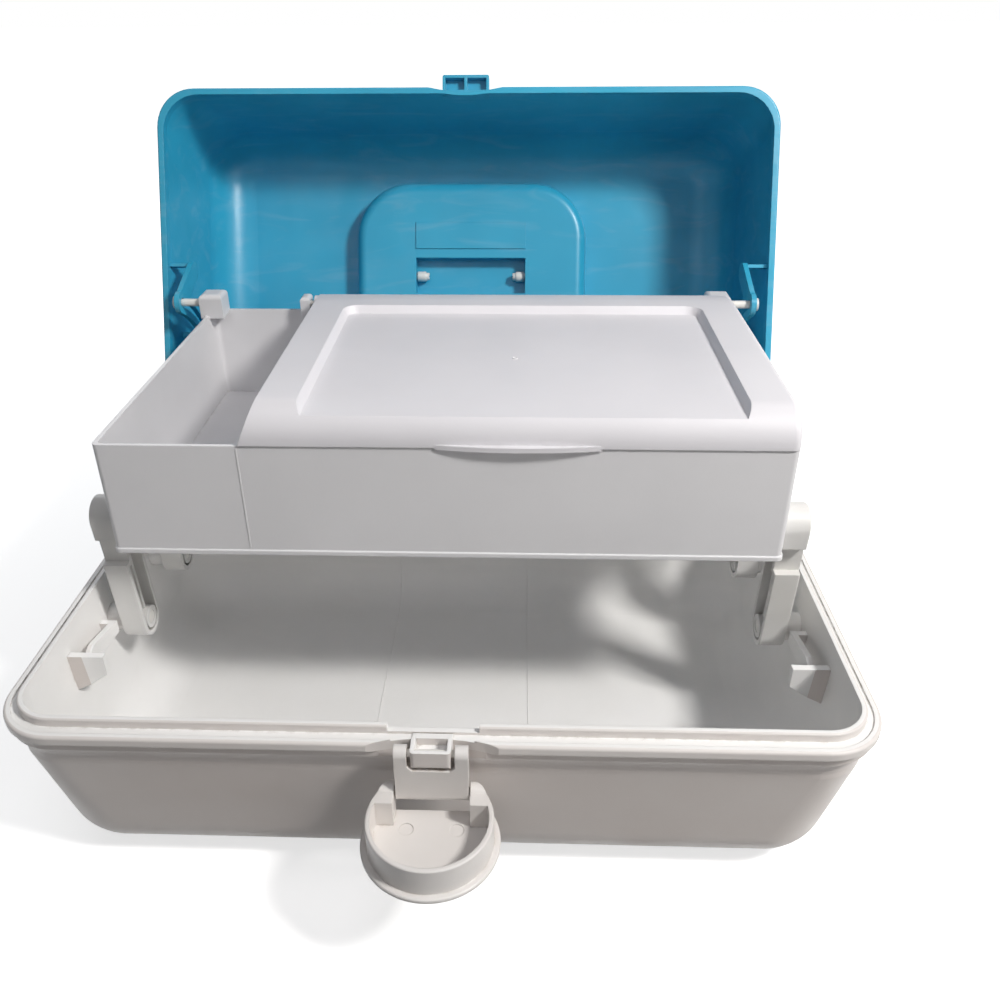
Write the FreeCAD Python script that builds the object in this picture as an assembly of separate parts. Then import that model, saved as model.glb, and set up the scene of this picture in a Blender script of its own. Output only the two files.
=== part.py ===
import FreeCAD, Part
import math
import os

# Storage case with a hinged lid, a raised tray on four swing arms and a front latch.
# Millimetres, +Z up, +X right, +Y back. The origin is under the middle of the base.
# The pieces are written as the open case stands: lid back, tray up, latch turned down and out.

V = FreeCAD.Vector
X_AXIS = V(1, 0, 0)

# ---- case
CASE_WIDTH = 325.0  # across the flange
CASE_DEPTH = 203.0  # across the flange
CASE_HEIGHT = 159.0  # table to the closed lid's top
CORNER_RADIUS = 24.0  # flange corners seen from above
SEAM_HEIGHT = 77.2  # table to the flange's top
FLANGE_THICKNESS = 4.4
FLANGE_OVERHANG = 4.5  # from the body wall to the flange's edge
LIP_RISE = 2.8  # lip above the flange
LIP_SETBACK = 6.3  # from the flange's edge to the lip's outside, front and back
LIP_SIDE_SETBACK = 5.2  # the same at the two sides
LIP_WALL = 2.2
COVE_HEIGHT = 12.8  # narrow band and hollow curve under the flange
BAND_HEIGHT = 3.0
BAND_STEP = 1.5  # band's face behind the flange's edge
SIDE_DRAFT = 0.07  # inward lean of the base's side walls, per mm down
FRONT_DRAFT = 0.125  # and of its front and back walls
BASE_WALL = 3.4
BASE_FLOOR = 4.0
WALL_BITE = 0.6  # how far what stands on a wall runs into it
BOTTOM_FILLET = 24.0
BOTTOM_CORNER_RADIUS = 33.0
FOOT_RISE = 2.0
FOOT_RADIUS = 6.0
FOOT_INSET_X = 36.0  # foot centre from the body's side
FOOT_Y = 70.0

# ---- clearances
SEAM_GAP = 0.3  # lid rim above the flange
SIDE_GAP = 0.6  # between pieces that pass side by side
RUN_FIT = 0.05  # pin to hole, on the radius
SLOT_FIT = 0.3  # guide pin to slot, on the radius

# ---- lid
LID_WALL = 1.8
RIM_HEIGHT = 5.5
RIM_STEP = 1.6  # band outside the lid wall
LID_OVERHANG = 2.2  # rim beyond the flange at the two sides
LID_CORNER_RADIUS = 20.0
LID_DRAFT = 0.087
LID_TOP_CORNER_RADIUS = 31.0
LID_FILLET = 25.0
LID_OPEN_ANGLE = 112.9
WELL_WIDTH = 141.0
WELL_FRONT_Y = -68.0
WELL_BACK_Y = 71.0
WELL_DEPTH = 15.4
WELL_CORNER_RADIUS = 34.0
WELL_EDGE_RADIUS = 6.0
YOKE_WIDTH = 66.0  # inside the raised rib that carries the handle
YOKE_LENGTH = 21.0
YOKE_RISE = 10.0
PANEL_WIDTH = 66.0  # thin raised plate inside the well
PANEL_LENGTH = 15.5
PANEL_THICKNESS = 0.6
PANEL_FRONT_Y = -43.0
CATCH_WIDTH = 24.6
CATCH_PROJECTION = 7.0  # in front of the flange's edge
CATCH_RISE = 3.8  # catch's underside above the flange's top
CATCH_HEIGHT = 6.2
CATCH_WALL = 1.5
CATCH_POCKET_DEPTH = 4.4
RIM_DIP_WIDTH = 40.0  # rim curving in behind the catch
RIM_DIP = 2.6

# ---- lid hinge
HINGE_SETBACK = 1.5  # axis behind the flange's edge
HINGE_DROP = 4.2  # axis under the seam
KNUCKLE_RADIUS = 4.0
KNUCKLE_WIDTH = 8.0
KNUCKLE_GAP = 0.35
HINGE_PIN_RADIUS = 1.5
HINGE_SPACING = 180.0

# ---- tray and its arms
TRAY_SIDE_ROOM = 26.5  # from the flange's edge to the tray's side
TRAY_FRONT_Y = -26.5
TRAY_BACK_Y = 137.5
TRAY_BOTTOM = 106.0
TRAY_HEIGHT = 49.5
TRAY_WALL = 1.8
TRAY_FLOOR = 2.0
TRAY_CORNER_RADIUS = 3.0
TRAY_BEAD = 0.6
TRAY_BEAD_HEIGHT = 2.4
DIVIDER_X = -79.0
ARM_LENGTH = 57.6
ARM_LEAN = 5.3  # forward of upright with the case open
ARM_CLOSED_LEAN = 67.0
ARM_PIVOT_Y = -5.7
ARM_SPACING = 52.0
ARM_PIVOT_Z = 58.0
ARM_HALF_DEPTH = 8.5
ARM_THICKNESS = 10.6
ARM_WEB = 2.6
ARM_RIM = 2.2
ARM_BOSS_RADIUS = 5.2
ARM_PIN_RADIUS = 3.0
ARM_NOTCH = 3.5
ARM_NOTCH_START = 36.5
ARM_NOTCH_END = 50.0
BOSS_RADIUS = 6.0
UPRIGHT_WIDTH = 12.0
UPRIGHT_DEPTH = 13.0
UPRIGHT_OVERHANG = 2.6  # beyond the tray's side
UPRIGHT_ROOT = 1.5  # how far it reaches down the tray's walls
UPRIGHT_TOP = 166.5
GUIDE_Y = 128.5
GUIDE_Z = 161.5
GUIDE_PIN_RADIUS = 2.0
GUIDE_HEAD_RADIUS = 3.3
GUIDE_HEAD_LENGTH = 1.4
TRACK_THICKNESS = 2.6
TRACK_STRAP = 3.6  # material each side of the slot
TRACK_WEB = 1.8
TRACK_TAIL_S = 110.0  # tail end, forward of the hinge axis
TRACK_TAIL_H = 9.0  # and above it
TRACK_TAIL_RADIUS = 5.0

# ---- arm rests in the base
REST_Y = -48.3
REST_THICKNESS = 3.0
REST_TOP = 69.2
REST_HEIGHT = 14.0
REST_INNER_X = 140.0
REST_RIB = 2.6
REST_RIB_BACK_Y = -16.0

# ---- tray cover
COVER_RISE = 14.8
COVER_WALL = 1.8
COVER_GAP = 0.3
COVER_SLOPE = 6.0  # the left side leans in
COVER_FRONT_RADIUS = 13.5
COVER_EDGE_RADIUS = 3.0
COVER_FLAT_END_Y = 106.0
COVER_HINGE_Y = 132.0
COVER_HINGE_Z = 160.1
COVER_KNUCKLE = 4.2
COVER_PIN_RADIUS = 1.6
COVER_EAR = 6.0
COVER_PIN_REACH = 9.0  # into the cover's bar
PIN_ROOT = 4.6  # into the tray
LUG_WIDTH = 5.0
LUG_DEPTH = 9.5
LUG_ROOT = 24.0  # how far it reaches down the tray's back wall
PANEL_RECESS = 3.6
PANEL_LEFT_X = -56.0
PANEL_RIGHT_X = 117.0
PANEL_BACK_Y = 98.0
PANEL_BEVEL = 2.2
TAB_WIDTH = 64.0
TAB_CENTRE_X = 29.0
TAB_REACH = 2.4
TAB_THICKNESS = 2.2
TAB_TIE = 40.0  # width over which the tab joins the cover's front

# ---- latch
LATCH_PIVOT_OUT = 3.2  # in front of the flange's edge
LATCH_PIVOT_DROP = 0.4  # under the flange's top
LATCH_BOX_WIDTH = 14.4
LATCH_BOX_FRONT = 6.2  # in front of the flange's edge
LATCH_BOX_DROP = 4.8
LATCH_BOX_WALL = 1.5
LATCH_PIN_RADIUS = 1.4
LINK_WIDTH = 26.0
LINK_ARM_WIDTH = 4.6
LINK_LENGTH = 18.3
LINK_EYE_RADIUS = 3.0
BUTTON_PIN_RADIUS = 1.4
BUTTON_TURN = 90.0  # from shut to where it stops
BUTTON_RADIUS = 24.6  # round plate
BUTTON_LENGTH = 13.5  # second pivot to the plate's centre
BUTTON_RIM_INSET = 2.3
BUTTON_WALL = 1.7
BUTTON_FLOOR = 2.0
BUTTON_DEPTH = 11.0  # inside the cup
BUTTON_BACK = 11.0  # second pivot to the button's outer face
BUTTON_CUT = 0.9  # plate's straight side, in front of the second pivot
BUTTON_EAR_RADIUS = 3.4
BUTTON_EAR_END = 8.0
SCALLOP_WIDTH = 47.0
LIP_CUT_WIDTH = 33.0
LIP_CUT_DEPTH = 2.4

# ---- handle
HANDLE_PIVOT_Y = -11.6
HANDLE_PIVOT_DROP = 11.5  # axis under the lid's top
HANDLE_ARM_WIDTH = 11.0
HANDLE_ARM_HEIGHT = 6.4
HANDLE_GRIP_REACH = 64.0
HANDLE_GRIP_DEPTH = 20.0
HANDLE_GRIP_HEIGHT = 11.0
HANDLE_PIN_RADIUS = 2.1
HANDLE_PIN_REACH = 10.0

# ---- figures that follow from those above
half_w = CASE_WIDTH / 2
half_d = CASE_DEPTH / 2
body_w = half_w - FLANGE_OVERHANG
body_d = half_d - FLANGE_OVERHANG
lip_w = half_w - LIP_SIDE_SETBACK
lip_d = half_d - LIP_SETBACK
lip_top = SEAM_HEIGHT + LIP_RISE
flange_bottom = SEAM_HEIGHT - FLANGE_THICKNESS
cove_bottom = flange_bottom - COVE_HEIGHT
rim_bottom = SEAM_HEIGHT + SEAM_GAP
rim_top = rim_bottom + RIM_HEIGHT
catch_bottom = SEAM_HEIGHT + CATCH_RISE
hinge_y = half_d + HINGE_SETBACK
hinge_z = SEAM_HEIGHT - HINGE_DROP
rim_w = half_w + LID_OVERHANG
lid_wall_w = rim_w - RIM_STEP
lid_wall_d = half_d - RIM_STEP
tray_half = half_w - TRAY_SIDE_ROOM
tray_top = TRAY_BOTTOM + TRAY_HEIGHT
arm_in = tray_half + SIDE_GAP
arm_out = arm_in + ARM_THICKNESS
boss_in = arm_out + SIDE_GAP
track_in = boss_in + 0.2
track_out = track_in + TRACK_THICKNESS
latch_y = -half_d - LATCH_PIVOT_OUT
latch_z = SEAM_HEIGHT - LATCH_PIVOT_DROP
button_y = latch_y
button_z = latch_z - LINK_LENGTH
arm_turn = ARM_CLOSED_LEAN - ARM_LEAN
HINGE = V(0, hinge_y, hinge_z)


# ---- shape helpers
def block(x0, x1, y0, y1, z0, z1):
    return Part.makeBox(x1 - x0, y1 - y0, z1 - z0, V(x0, y0, z0))


def rod(x0, x1, y, z, radius):
    return Part.makeCylinder(radius, x1 - x0, V(x0, y, z), X_AXIS)


def outline(half_x, half_y, radius, z, at_x=0.0, at_y=0.0):
    """A closed rectangle with round corners, flat at height z."""
    corners = []
    for i, (sx, sy) in enumerate(((1, 1), (-1, 1), (-1, -1), (1, -1))):
        cx = at_x + sx * (half_x - radius)
        cy = at_y + sy * (half_y - radius)
        angles = [math.radians(90 * i + step) for step in (0, 45, 90)]
        corners.append([V(cx + radius * math.cos(a), cy + radius * math.sin(a), z) for a in angles])
    edges = []
    for i in range(4):
        start, middle, finish = corners[i]
        edges.append(Part.Arc(start, middle, finish).toShape())
        edges.append(Part.makeLine(finish, corners[(i + 1) % 4][0]))
    return Part.Wire(edges)


def loft(wires, ruled=True):
    return Part.makeLoft(wires, True, ruled)


def slab(half_x, half_y, radius, z0, z1, at_x=0.0, at_y=0.0):
    """A plate with round corners between two heights."""
    face = Part.Face(outline(half_x, half_y, radius, z0, at_x, at_y))
    return face.extrude(V(0, 0, z1 - z0))


def side_profile(points, x0, x1):
    """A prism along X over a polygon given as (y, z) pairs."""
    corners = [V(x0, y, z) for y, z in points]
    face = Part.Face(Part.makePolygon(corners + corners[:1]))
    return face.extrude(V(x1 - x0, 0, 0))


def front_profile(points, y0, y1):
    """A prism along Y over a polygon given as (x, z) pairs."""
    corners = [V(x, y0, z) for x, z in points]
    face = Part.Face(Part.makePolygon(corners + corners[:1]))
    return face.extrude(V(0, y1 - y0, 0))


def stadium(a, b, radius, x0, x1):
    """A bar with round ends from a to b, both (y, z), extruded along X."""
    dy = b[0] - a[0]
    dz = b[1] - a[1]
    length = math.hypot(dy, dz)
    uy = dy / length
    uz = dz / length
    ny = -uz * radius
    nz = uy * radius

    def at(base, along, side):
        y = base[0] + uy * radius * along + ny * side
        z = base[1] + uz * radius * along + nz * side
        return V(x0, y, z)

    edges = [
        Part.makeLine(at(a, 0, 1), at(b, 0, 1)),
        Part.Arc(at(b, 0, 1), at(b, 1, 0), at(b, 0, -1)).toShape(),
        Part.makeLine(at(b, 0, -1), at(a, 0, -1)),
        Part.Arc(at(a, 0, -1), at(a, -1, 0), at(a, 0, 1)).toShape(),
    ]
    return Part.Face(Part.Wire(edges)).extrude(V(x1 - x0, 0, 0))


def fuse(shapes):
    whole = shapes[0].fuse(shapes[1:])
    return whole.removeSplitter()


def mirrored(shape):
    return shape.mirror(V(0, 0, 0), X_AXIS)


def edges_where(shape, test):
    """Edges whose every probe point passes the test."""
    found = []
    for edge in shape.Edges:
        first, last = edge.ParameterRange
        probes = [edge.valueAt(first + (last - first) * t) for t in (0.02, 0.5, 0.98)]
        if all(test(p) for p in probes):
            found.append(edge)
    return found


def rounded(shape, radius, test):
    edges = edges_where(shape, test)
    if not edges:
        raise ValueError("no edge to round")
    return shape.makeFillet(radius, edges)


def near(value, target, slack=0.02):
    return abs(value - target) < slack


def save(name, shape):
    solids = shape.Solids
    if len(solids) != 1 or not shape.isValid():
        print("CHECK", name, "solids", len(solids), "valid", shape.isValid())
    if len(solids) == 1:
        shape = solids[0]
    shape.exportStep("parts/" + name + ".step")
    print(name, round(shape.Volume / 1000.0, 2), "cm3")


def open_lid(shape):
    """Turns a shape drawn with the lid shut to where it stands with the lid open."""
    turned = shape.copy()
    turned.rotate(HINGE, X_AXIS, -LID_OPEN_ANGLE)
    return turned


# ---- base
def base_body(inset, floor_z):
    """The tub's outside, or its hollow when inset is the wall."""
    top_r = CORNER_RADIUS - FLANGE_OVERHANG - inset
    low_r = BOTTOM_CORNER_RADIUS - inset
    fall = cove_bottom - floor_z
    low_w = body_w - inset - fall * SIDE_DRAFT
    low_d = body_d - inset - fall * FRONT_DRAFT
    upper = outline(body_w - inset, body_d - inset, top_r, cove_bottom)
    lower = outline(low_w, low_d, low_r, floor_z)
    tub = loft([lower, upper])
    return rounded(tub, BOTTOM_FILLET - inset, lambda p: near(p.z, floor_z))


def cove_ring():
    """The narrow band under the flange and the concave sweep from it in to the body wall."""
    wires = []
    steps = 6
    sweep = FLANGE_OVERHANG - BAND_STEP
    for i in range(steps + 1):
        rise = math.sin(i / steps * math.pi / 2)
        out = sweep * (1 - math.sqrt(max(0.0, 1 - rise * rise))) * 0.97
        height = cove_bottom + (COVE_HEIGHT - BAND_HEIGHT) * rise
        radius = CORNER_RADIUS - FLANGE_OVERHANG + out
        wires.append(outline(body_w + out, body_d + out, radius, height))
    band_r = CORNER_RADIUS - BAND_STEP
    band = slab(half_w - BAND_STEP, half_d - BAND_STEP, band_r, flange_bottom - BAND_HEIGHT, flange_bottom)
    return fuse([loft(wires), band])


def base_tub():
    body = base_body(0.0, FOOT_RISE)
    cove = cove_ring()
    flange = slab(half_w, half_d, CORNER_RADIUS, flange_bottom, SEAM_HEIGHT)
    flange = rounded(flange, 1.2, lambda p: near(p.z, flange_bottom) or near(p.z, SEAM_HEIGHT))
    groove = slab(half_w - 2.6, half_d - 2.6, CORNER_RADIUS - 2.6, SEAM_HEIGHT - 0.7, SEAM_HEIGHT + 1)
    lip_r = CORNER_RADIUS - LIP_SETBACK
    lip = slab(lip_w, lip_d, lip_r, flange_bottom, lip_top)
    lip = rounded(lip, 0.8, lambda p: near(p.z, lip_top))
    tub = fuse([body, cove, flange.cut(groove), lip])
    # feet at the four corners
    foot_x = body_w - FOOT_INSET_X
    for sx in (-1, 1):
        for sy in (-1, 1):
            centre = V(sx * foot_x, sy * FOOT_Y, 0)
            foot = Part.makeCylinder(FOOT_RADIUS, BOTTOM_FILLET, centre)
            tub = tub.fuse(foot)
    # hollow: the tub's inside with the mouth through the lip
    hollow = base_body(BASE_WALL, FOOT_RISE + BASE_FLOOR)
    mouth_w = lip_w - LIP_WALL
    mouth_d = lip_d - LIP_WALL
    mouth_r = lip_r - LIP_WALL
    low_r = CORNER_RADIUS - FLANGE_OVERHANG - BASE_WALL
    low = outline(body_w - BASE_WALL, body_d - BASE_WALL, low_r, cove_bottom)
    mid = outline(mouth_w, mouth_d, mouth_r, flange_bottom)
    top = outline(mouth_w, mouth_d, mouth_r, lip_top + 1)
    hollow = hollow.fuse([loft([low, mid]), loft([mid, top])])
    tub = tub.cut(hollow)
    # front cut-outs for the latch
    tub = tub.cut(scallop(SCALLOP_WIDTH, FLANGE_OVERHANG - 0.2, cove_bottom, SEAM_HEIGHT + 0.01))
    cut_half = LIP_CUT_WIDTH / 2
    lip_cut = block(-cut_half, cut_half, -half_d, -lip_d + LIP_WALL + 1, lip_top - LIP_CUT_DEPTH, lip_top + 1)
    tub = tub.cut(lip_cut)
    # hinge knuckles at the back
    for sx in (-1, 1):
        centre = sx * HINGE_SPACING / 2
        half = KNUCKLE_WIDTH / 2 + KNUCKLE_GAP
        room = block(centre - half, centre + half, body_d + 0.4, half_d + 8, hinge_z - 8, SEAM_HEIGHT + 0.01)
        tub = tub.cut(room)
        for side in (-1, 1):
            x0 = centre + side * (half + KNUCKLE_WIDTH / 2) - KNUCKLE_WIDTH / 2
            x1 = x0 + KNUCKLE_WIDTH
            eye = rod(x0, x1, hinge_y, hinge_z, KNUCKLE_RADIUS)
            root = block(x0, x1, body_d - 1, hinge_y, hinge_z - KNUCKLE_RADIUS, hinge_z + 2.0)
            tub = tub.fuse([eye, root])
        reach = half + KNUCKLE_WIDTH + 1
        tub = tub.cut(rod(centre - reach, centre + reach, hinge_y, hinge_z, HINGE_PIN_RADIUS))
    # arm bosses, rests and ribs on the side walls
    inside = tub_inside()
    for sx in (-1, 1):
        for y in (ARM_PIVOT_Y, ARM_PIVOT_Y + ARM_SPACING):
            boss = rod(boss_in, half_w, y, ARM_PIVOT_Z, BOSS_RADIUS).common(inside)
            tub = tub.fuse(boss if sx > 0 else mirrored(boss))
        rest = arm_rest().common(inside)
        tub = tub.fuse(rest if sx > 0 else mirrored(rest))
        for y in (ARM_PIVOT_Y, ARM_PIVOT_Y + ARM_SPACING):
            hole = rod(boss_in - 1, body_w - BASE_WALL - 2, y, ARM_PIVOT_Z, ARM_PIN_RADIUS)
            tub = tub.cut(hole if sx > 0 else mirrored(hole))
    return tub.removeSplitter()


def tub_inside():
    """A solid that reaches a little into the side walls, to trim what stands on them."""
    reach_w = body_w - BASE_WALL + WALL_BITE
    reach_d = body_d - BASE_WALL + WALL_BITE
    fall = cove_bottom - FOOT_RISE
    upper = outline(reach_w, reach_d, CORNER_RADIUS, cove_bottom)
    lower = outline(reach_w - fall * SIDE_DRAFT, reach_d - fall * FRONT_DRAFT, CORNER_RADIUS, FOOT_RISE)
    return loft([lower, upper]).fuse(slab(reach_w, reach_d, CORNER_RADIUS, cove_bottom, lip_top))


def arm_rest():
    """Right-hand rest: an upright plate with a curved rib behind it."""
    bottom = REST_TOP - REST_HEIGHT
    wall = half_w
    plate = front_profile(
        [
            (REST_INNER_X, REST_TOP),
            (wall, REST_TOP),
            (wall, bottom - 8),
            (REST_INNER_X + 7.0, bottom),
            (REST_INNER_X, bottom + 5.0),
        ],
        REST_Y,
        REST_Y + REST_THICKNESS,
    )
    rib = side_profile(
        [
            (REST_Y + 1, REST_TOP - 4.5),
            (REST_Y + 10, REST_TOP - 1.5),
            (REST_RIB_BACK_Y, REST_TOP - 6.0),
            (REST_RIB_BACK_Y, REST_TOP - 12.0),
            (REST_Y + 12, REST_TOP - 10.0),
            (REST_Y + 1, REST_TOP - 14.0),
        ],
        boss_in,
        boss_in + REST_RIB,
    )
    tie = block(boss_in, wall, REST_RIB_BACK_Y - REST_RIB, REST_RIB_BACK_Y, REST_TOP - 12.0, REST_TOP - 6.0)
    return fuse([plate, rib, tie])


def scallop(width, depth, z0, z1, face_y=None):
    """A shallow curve cut into the front, as a slice of an upright cylinder."""
    radius = ((width / 2) ** 2 + depth**2) / (2 * depth)
    front = -half_d if face_y is None else face_y
    return Part.makeCylinder(radius, z1 - z0, V(0, front + depth - radius, z0))


def latch_bracket(tub):
    """The small hollow box on the front that carries the latch, as far as it stands out of the tub."""
    half = LATCH_BOX_WIDTH / 2
    y0 = -half_d - LATCH_BOX_FRONT
    z0 = latch_z - LATCH_BOX_DROP
    z1 = lip_top - 0.4
    seat_y = -half_d + RIM_DIP - SIDE_GAP
    box = block(-half, half, y0, -body_d + 1.5, z0, z1)
    box = box.cut(block(-half, half, seat_y, half_d, SEAM_HEIGHT, z1))
    box = rounded(box, 1.5, lambda p: near(p.y, y0) and (near(abs(p.x), half) or near(p.z, z0)))
    wall = LATCH_BOX_WALL
    pocket = block(-half + wall, half - wall, y0 + wall, -body_d - 1.0, z0 + 2.0, lip_top + 1)
    hole = rod(-half - 1, half + 1, latch_y, latch_z, LATCH_PIN_RADIUS)
    return box.cut([pocket, hole]).cut(tub)


# ---- lid, drawn shut
def lid_skin(inset):
    """The lid above its rim, or its hollow when inset is the wall."""
    top_z = CASE_HEIGHT - inset
    shrink = (top_z - rim_top) * LID_DRAFT
    lower = outline(lid_wall_w - inset, lid_wall_d - inset, LID_CORNER_RADIUS - inset / 2, rim_top)
    top_w = lid_wall_w - inset - shrink
    top_d = lid_wall_d - inset - shrink
    upper = outline(top_w, top_d, LID_TOP_CORNER_RADIUS - inset, top_z)
    skin = loft([lower, upper])
    return rounded(skin, LID_FILLET - inset, lambda p: near(p.z, top_z))


def lid_hollow():
    """Everything inside the lid, with the handle well standing into it."""
    rim_r = LID_CORNER_RADIUS - LID_WALL / 2
    rim = slab(lid_wall_w - LID_WALL, lid_wall_d - LID_WALL, rim_r, rim_bottom - 1, rim_top)
    hollow = rim.fuse(lid_skin(LID_WALL))
    return hollow.cut(well_solid(0.0))


def well_solid(inset):
    """The handle well: its outside as seen from inside the lid, or the well itself when inset is the wall."""
    centre = (WELL_FRONT_Y + WELL_BACK_Y) / 2
    half_x = WELL_WIDTH / 2 - inset
    half_y = (WELL_BACK_Y - WELL_FRONT_Y) / 2 - inset
    floor_z = CASE_HEIGHT - WELL_DEPTH - LID_WALL + inset
    top_z = CASE_HEIGHT + 2
    lower = outline(half_x - 2.0, half_y - 2.0, WELL_CORNER_RADIUS - inset - 2.0, floor_z, 0.0, centre)
    upper = outline(half_x, half_y, WELL_CORNER_RADIUS - inset, top_z, 0.0, centre)
    well = loft([lower, upper])
    return rounded(well, WELL_EDGE_RADIUS - inset, lambda p: near(p.z, floor_z))


def lid_catch():
    half = CATCH_WIDTH / 2
    y0 = -half_d - CATCH_PROJECTION
    y1 = -half_d + RIM_DIP + 1.2
    z0 = catch_bottom
    z1 = catch_bottom + CATCH_HEIGHT
    box = block(-half, half, y0, y1, z0, z1)
    box = rounded(box, 1.0, lambda p: near(p.y, y0) and (near(abs(p.x), half) or near(p.z, z1)))
    rib = 0.8
    pockets = []
    for sx in (-1, 1):
        x0 = sx * rib
        x1 = sx * (half - CATCH_WALL)
        pocket = block(min(x0, x1), max(x0, x1), y0 + CATCH_WALL, y1 - 3.2, z0 - 1, z0 + CATCH_POCKET_DEPTH)
        pockets.append(pocket)
    return box.cut(pockets)


def lid_shell():
    band = slab(rim_w, half_d, LID_CORNER_RADIUS, rim_bottom, rim_top)
    band = rounded(band, 1.0, lambda p: near(p.z, rim_bottom) or near(p.z, rim_top))
    outside = fuse([band, lid_skin(0.0)])
    outside = outside.cut(scallop(RIM_DIP_WIDTH, RIM_DIP, rim_bottom - 1, rim_top + 0.5))
    back_fill = scallop_wall()
    hollow = lid_hollow()
    shell = outside.cut(hollow.cut(back_fill))
    shell = shell.cut(well_solid(LID_WALL))
    # raised rib across the well, hollow from inside, with square holes for the handle pins
    floor_z = CASE_HEIGHT - WELL_DEPTH
    half = YOKE_WIDTH / 2
    y0 = HANDLE_PIVOT_Y - YOKE_LENGTH / 2
    y1 = HANDLE_PIVOT_Y + YOKE_LENGTH / 2
    rib = block(-half - LID_WALL, half + LID_WALL, y0 - LID_WALL, y1 + LID_WALL, floor_z - 0.5, floor_z + YOKE_RISE)
    rib = rounded(rib, 1.5, lambda p: near(p.z, floor_z + YOKE_RISE))
    shell = shell.fuse(rib)
    shell = shell.cut(block(-half, half, y0, y1, floor_z - LID_WALL - 1, floor_z + YOKE_RISE - LID_WALL))
    pin_z = CASE_HEIGHT - HANDLE_PIVOT_DROP
    side = HANDLE_PIN_RADIUS + RUN_FIT
    hole = block(-half - 5, half + 5, HANDLE_PIVOT_Y - side, HANDLE_PIVOT_Y + side, pin_z - side, pin_z + side)
    shell = shell.cut(hole)
    # thin raised plate on the inside of the well
    low = floor_z - LID_WALL - PANEL_THICKNESS
    panel = block(-PANEL_WIDTH / 2, PANEL_WIDTH / 2, PANEL_FRONT_Y, PANEL_FRONT_Y + PANEL_LENGTH, low, floor_z - 1)
    shell = shell.fuse([panel, lid_catch()])
    # knuckles
    for sx in (-1, 1):
        centre = sx * HINGE_SPACING / 2
        x0 = centre - KNUCKLE_WIDTH / 2
        x1 = centre + KNUCKLE_WIDTH / 2
        eye = rod(x0, x1, hinge_y, hinge_z, KNUCKLE_RADIUS)
        arm = block(x0, x1, half_d - 3.0, hinge_y + 2.4, hinge_z, rim_top)
        shell = shell.fuse([eye, arm])
        shell = shell.cut(rod(x0 - 1, x1 + 1, hinge_y, hinge_z, HINGE_PIN_RADIUS + RUN_FIT))
    return shell.removeSplitter()


def scallop_wall():
    """Wall behind the dip in the rim, so the lid keeps its thickness there."""
    width = RIM_DIP_WIDTH + 8
    deep = scallop(width, RIM_DIP + LID_WALL, rim_bottom - 1, rim_top + 2)
    front = block(-width / 2, width / 2, -half_d, -half_d + RIM_DIP + LID_WALL + 1, rim_bottom, rim_top + 2)
    return front.common(deep)


# ---- guide tracks, drawn shut
def arm_point(lean):
    angle = math.radians(lean)
    return V(0, -ARM_LENGTH * math.sin(angle), ARM_LENGTH * math.cos(angle))


def tray_shift(lean):
    """How far the tray has moved from its raised place when the arms lean so far forward."""
    return arm_point(lean) - arm_point(ARM_LEAN)


def guide_path(first, last, count):
    """Places of the guide pin in the shut lid's frame while the lid turns between two shares of its travel."""
    points = []
    for i in range(count):
        share = first + (last - first) * i / (count - 1)
        lean = ARM_CLOSED_LEAN - arm_turn * share
        pin = V(0, GUIDE_Y, GUIDE_Z) + tray_shift(lean) - HINGE
        angle = math.radians(LID_OPEN_ANGLE * share)
        y = pin.y * math.cos(angle) - pin.z * math.sin(angle)
        z = pin.y * math.sin(angle) + pin.z * math.cos(angle)
        points.append((hinge_y + y, hinge_z + z))
    return points


def band_along(points, radius, x0, x1):
    """A strap of even width along a smooth path, with round ends."""
    tangents = []
    for i, (y, z) in enumerate(points):
        ahead = points[min(i + 1, len(points) - 1)]
        behind = points[max(i - 1, 0)]
        ty = ahead[0] - behind[0]
        tz = ahead[1] - behind[1]
        size = math.hypot(ty, tz)
        tangents.append((ty / size, tz / size))
    left = [V(x0, y - t[1] * radius, z + t[0] * radius) for (y, z), t in zip(points, tangents)]
    right = [V(x0, y + t[1] * radius, z - t[0] * radius) for (y, z), t in zip(points, tangents)]
    start = V(x0, points[0][0] - tangents[0][0] * radius, points[0][1] - tangents[0][1] * radius)
    finish = V(x0, points[-1][0] + tangents[-1][0] * radius, points[-1][1] + tangents[-1][1] * radius)
    one = Part.BSplineCurve()
    one.interpolate(left)
    two = Part.BSplineCurve()
    two.interpolate(right[::-1])
    edges = [
        one.toShape(),
        Part.Arc(left[-1], finish, right[-1]).toShape(),
        two.toShape(),
        Part.Arc(right[0], start, left[0]).toShape(),
    ]
    return Part.Face(Part.Wire(edges)).extrude(V(x1 - x0, 0, 0))


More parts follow.
